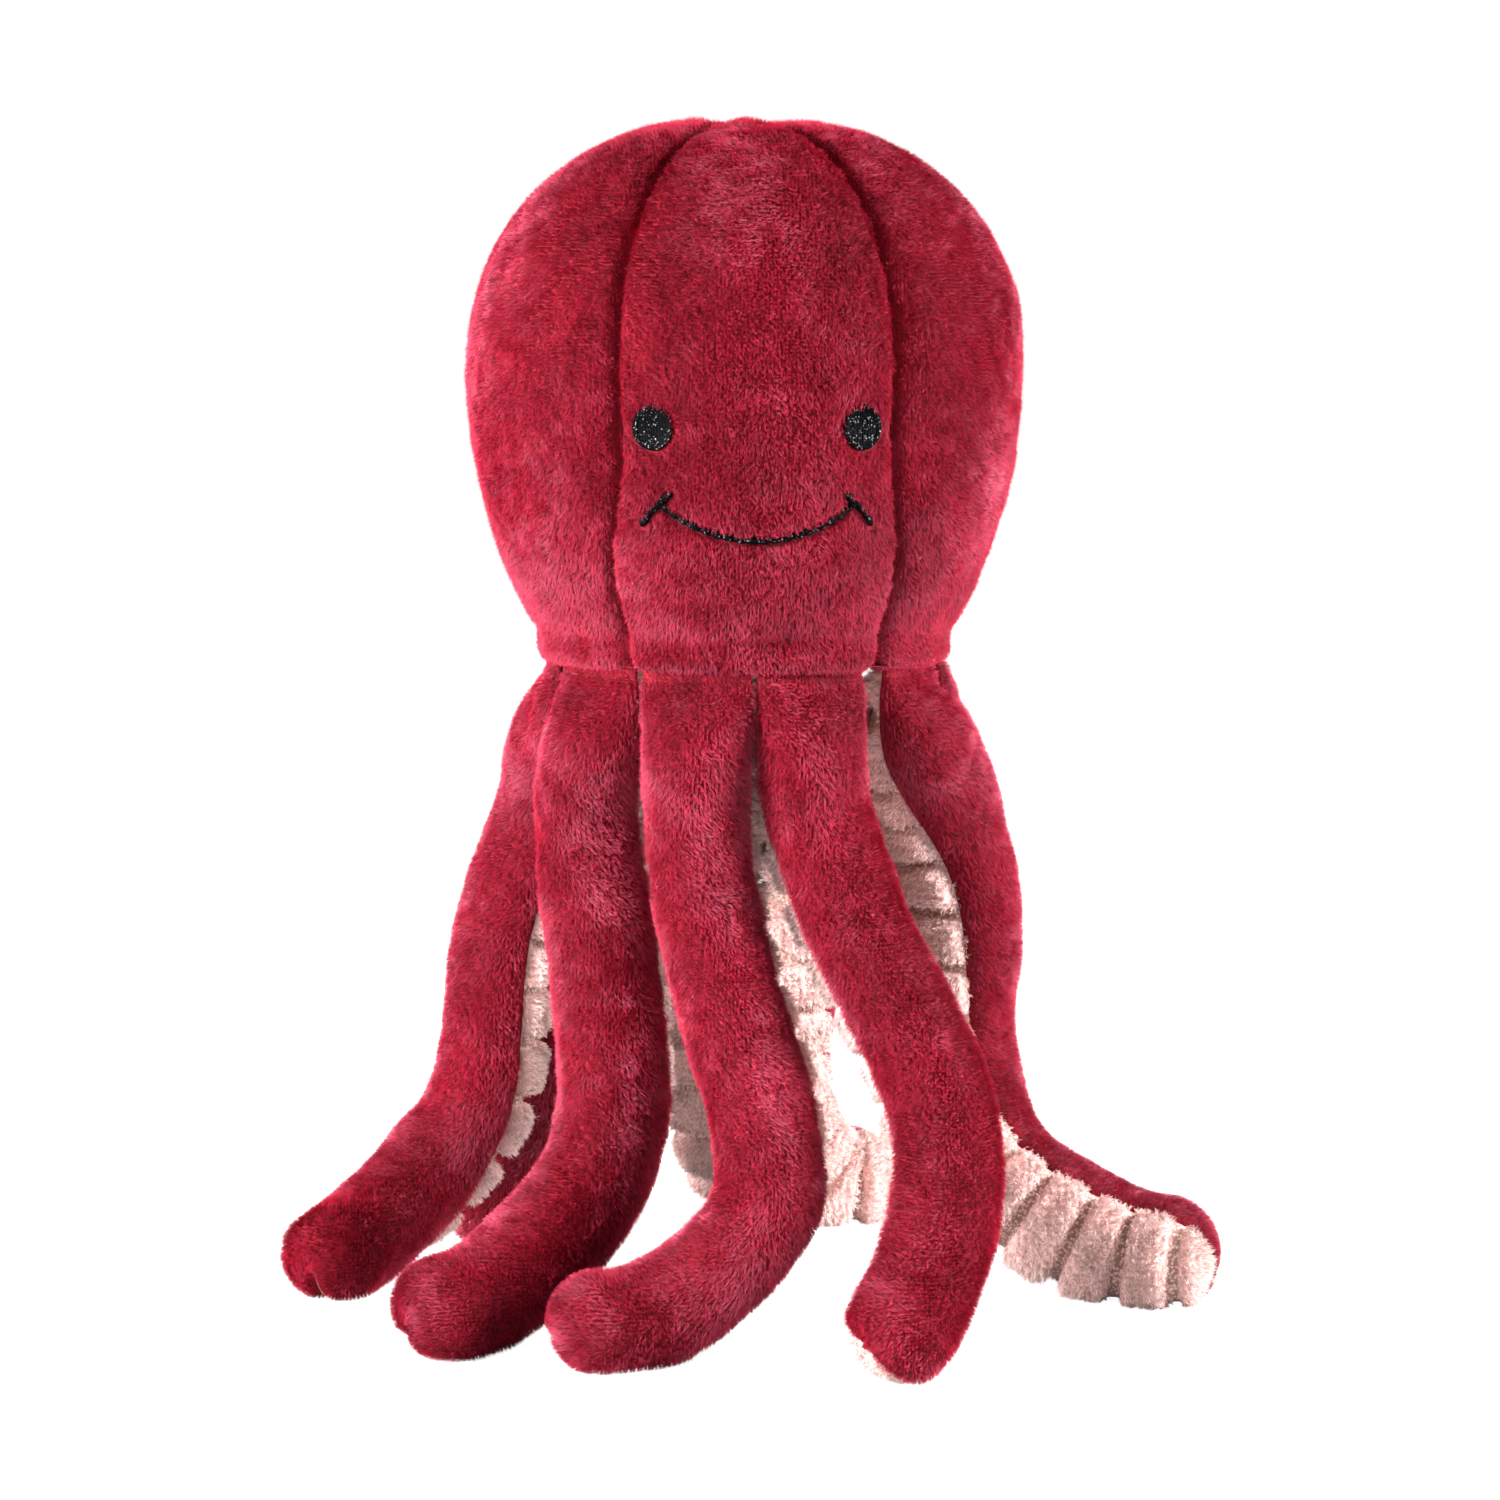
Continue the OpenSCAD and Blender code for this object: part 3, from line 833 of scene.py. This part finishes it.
def make_eye(side, panel):
    name = "left_eye" if side < 0 else "right_eye"
    low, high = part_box(name)
    cx, cz = (low.x + high.x) / 2, (low.z + high.z) / 2
    rx, rz = (high.x - low.x) / 2, (high.z - low.z) / 2
    rings, spokes = 30, 128
    r = np.linspace(0.02, 1, rings)[:, None]
    a = np.linspace(0, 2 * math.pi, spokes, endpoint=False)[None, :]
    x, z = cx + rx * r * np.cos(a), cz + rz * r * np.sin(a)
    depth = np.array([head_front(px, pz, panel) for px, pz in zip(x.ravel(), z.ravel())]).reshape(x.shape)
    border = eased((r - 0.72) / 0.06) * (1 - eased((r - 0.93) / 0.07))
    fill = 1.1 * MM * (1 - r**4)
    threads = 0.10 * MM * np.cos(2 * math.pi * (x - cx) / (0.55 * MM)) * (1 - border)
    satin = 0.12 * MM * np.cos(a * 56) * border
    height = 0.5 * MM + fill * 0.6 + border * 0.5 * MM + threads + satin
    height = np.where(r > 0.98, -0.8 * MM, height)
    grid = np.stack([x, depth - height, z], -1)
    points = np.concatenate([grid.reshape(-1, 3), [grid[0].mean(axis=0)]])
    faces = grid_faces(rings, spokes, wrap=True)
    centre = rings * spokes
    faces += [[centre, (j + 1) % spokes, j] for j in range(spokes)]
    faces = [face[::-1] for face in faces]
    thing = mesh_object("stitched_" + name, points, faces, THREAD)
    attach(thing, "head")
    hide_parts(name)


def stitch_row(name, line, panel, width, pitch, node):
    """A line of short overlapping stitches along points [x, z] on the face."""
    walked = np.append(0, np.cumsum(np.linalg.norm(np.diff(line, axis=0), axis=1)))
    count = max(2, int(walked[-1] / pitch))
    points, faces = [], []
    rings, sides = 9, 10
    for n in range(count):
        start, end = walked[-1] * n / count, walked[-1] * (n + 1) / count
        d = np.linspace(start - pitch * 0.12, end + pitch * 0.12, rings)
        x, z = np.interp(d, walked, line[:, 0]), np.interp(d, walked, line[:, 1])
        depth = np.array([head_front(px, pz, panel) for px, pz in zip(x, z)])
        arch = np.sin(np.linspace(0.12, math.pi - 0.12, rings))
        spine = np.stack([x, depth - 0.25 * MM - 0.55 * MM * arch, z], 1)
        tangent = unit(np.gradient(spine, axis=0))
        side = unit(np.cross(tangent, [0, 1, 0]))
        up = np.cross(side, tangent)
        a = np.linspace(0, 2 * math.pi, sides, endpoint=False)
        half = width / 2 * (0.55 + 0.45 * arch)
        ring = (
            spine[:, None]
            + side[:, None] * half[:, None, None] * np.cos(a)[None, :, None]
            + up[:, None] * half[:, None, None] * 0.8 * np.sin(a)[None, :, None]
        )
        ring_points, ring_faces = closed_tube(ring)
        before = sum(len(p) for p in points)
        points.append(ring_points)
        faces += [[before + i for i in face] for face in ring_faces]
    thing = mesh_object(name, np.concatenate(points), faces, THREAD)
    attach(thing, "head")
    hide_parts(node)


def make_smile(panel):
    x = np.linspace(-smile_half, smile_half, 60)
    stitch_row("stitched_smile", np.stack([x, smile_drop_at(x)], 1), panel, 2.6 * MM, 3.4 * MM, "smile")
    for node in ("left_smile_tick", "right_smile_tick"):
        stitch_row("stitched_" + node, tick_line(node), panel, 2.4 * MM, 3.4 * MM, node)


# ---- Base panel ----
def make_base():
    rings, spokes = 24, 96
    low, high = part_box("base_panel")
    r = np.linspace(0.02, 1, rings)[:, None]
    a = np.linspace(0, 2 * math.pi, spokes, endpoint=False)[None, :]
    radius = high.x + 1.0 * MM
    x, y = radius * r * np.cos(a), radius * r * np.sin(a)
    z = low.z - 2 * MM * (1 - r**2) + 0 * a
    grid = np.stack([x, y, z + 0.3 * MM], -1)
    grid[..., 2] += 0.4 * MM * noise(grid, 8 * MM, 61)
    points = np.concatenate([grid.reshape(-1, 3), [grid[0].mean(axis=0)]])
    faces = grid_faces(rings, spokes, wrap=True)
    centre = rings * spokes
    faces += [[centre, (j + 1) % spokes, j] for j in range(spokes)]
    thing = mesh_object("plush_base_panel", points, [face[::-1] for face in faces], PLUSH)
    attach(thing, "head")
    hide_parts("base_panel")


# ---- Set ----
def make_stage():
    material, nodes, links = node_material("studio_paper")
    shader = nodes["Principled BSDF"]
    shader.inputs["Roughness"].default_value = 0.9
    bright = nodes.new("ShaderNodeEmission")
    bright.inputs["Strength"].default_value = 0.97
    either = nodes.new("ShaderNodeAddShader")
    seen_only = nodes.new("ShaderNodeMixShader")
    ray = nodes.new("ShaderNodeLightPath")
    links.new(ray.outputs["Is Camera Ray"], seen_only.inputs["Fac"])
    links.new(shader.outputs[0], either.inputs[0])
    links.new(bright.outputs[0], either.inputs[1])
    links.new(shader.outputs[0], seen_only.inputs[1])
    links.new(either.outputs[0], seen_only.inputs[2])
    links.new(seen_only.outputs[0], nodes["Material Output"].inputs["Surface"])
    paper = noise_node(nodes, links, 30, 3)
    tones = [(0.3, (0.44, 0.44, 0.44)), (0.7, (0.46, 0.46, 0.46))]
    ramp = ramp_node(nodes, links, paper.outputs["Fac"], tones)
    links.new(ramp.outputs["Color"], shader.inputs["Base Color"])
    size = 40.0
    corners = np.array([[-size, -size, 0], [size, -size, 0], [size, size, 0], [-size, size, 0]])
    floor = mesh_object("floor", corners, [[0, 1, 2, 3]], material)
    world = bpy.data.worlds.new("studio")
    world.use_nodes = True
    nodes, links = world.node_tree.nodes, world.node_tree.links
    glow = nodes["Background"]
    glow.inputs["Color"].default_value = (1, 1, 1, 1)
    glow.inputs["Strength"].default_value = 0.11
    seen = nodes.new("ShaderNodeBackground")
    seen.inputs["Color"].default_value = (1, 1, 1, 1)
    seen.inputs["Strength"].default_value = 1.02
    path = nodes.new("ShaderNodeLightPath")
    mix = nodes.new("ShaderNodeMixShader")
    links.new(path.outputs["Is Camera Ray"], mix.inputs["Fac"])
    links.new(glow.outputs[0], mix.inputs[1])
    links.new(seen.outputs[0], mix.inputs[2])
    links.new(mix.outputs[0], nodes["World Output"].inputs["Surface"])
    bpy.context.scene.world = world


def add_light(name, place, aim, size, power):
    lamp = bpy.data.lights.new(name, "AREA")
    lamp.shape = "DISK"
    lamp.size = size
    lamp.energy = power
    thing = bpy.data.objects.new(name, lamp)
    bpy.context.scene.collection.objects.link(thing)
    thing.location = place
    thing.rotation_euler = (Vector(aim) - Vector(place)).to_track_quat("-Z", "Y").to_euler()
    return thing


LIGHTS = [  # name, place in metres, diameter in metres, watts
    ("left", (-1.5, -0.65, 0.65), 0.7, 128),
    ("right", (1.5, -0.35, 0.80), 0.7, 108),
    ("front", (-1.1, -1.6, 0.9), 1.0, 11),
]
LIGHTS_AIM = (0, 0, 0.2)


def make_lights():
    made = {name: add_light(name, place, LIGHTS_AIM, size, power) for name, place, size, power in LIGHTS}
    made["front"].visible_glossy = False  # the fill light would dull the pile's shine


CAMERA_PLACE = Vector((-0.0696, -1.3282, 0.330))
CAMERA_AIM = Vector((0.0019, 0, 0.177))
CAMERA_LENS = 98.4  # millimetres, for a sensor 36 mm wide


def make_camera():
    data = bpy.data.cameras.new("camera")
    data.lens = CAMERA_LENS
    data.sensor_width = 36
    camera = bpy.data.objects.new("camera", data)
    bpy.context.scene.collection.objects.link(camera)
    camera.location = CAMERA_PLACE
    camera.rotation_euler = (CAMERA_AIM - CAMERA_PLACE).to_track_quat("-Z", "Y").to_euler()
    bpy.context.scene.camera = camera
    bpy.context.scene.view_settings.view_transform = "Standard"


# ---- Everything ----
make_camera()
make_stage()
make_lights()

head_grid, head_pins = head_cage()
tentacles = [tentacle_cage(k) for k in range(8)]
bags = [(head_grid, head_pins, 3 * MM)] + [(t[0], t[1], 2 * MM) for t in tentacles]
blown = inflated(bags)
panels = head_panels(blown[0])
make_head(panels)
face_points = panels["face_panel"][0]
head_middle = np.array([0, 0, belly_z - 30 * MM])
make_filling("stuffing_head", blown[0], 9 * MM, "head", "head_stuffing", head_middle)
for k in range(8):
    cage_distance, cage_length = tentacles[k][2:]
    make_tentacle_plush(k, blown[k + 1], cage_distance, cage_length)
    make_tentacle_lining(k, blown[k + 1], cage_distance, cage_length)
    name = f"tentacle_{k + 1}"
    rings_middle = blown[k + 1].mean(axis=1, keepdims=True)
    make_filling("stuffing_" + name, blown[k + 1], 6 * MM, name, name + "_stuffing", rings_middle)
for side in (-1, 1):
    make_eye(side, face_points)
make_smile(face_points)
make_base()
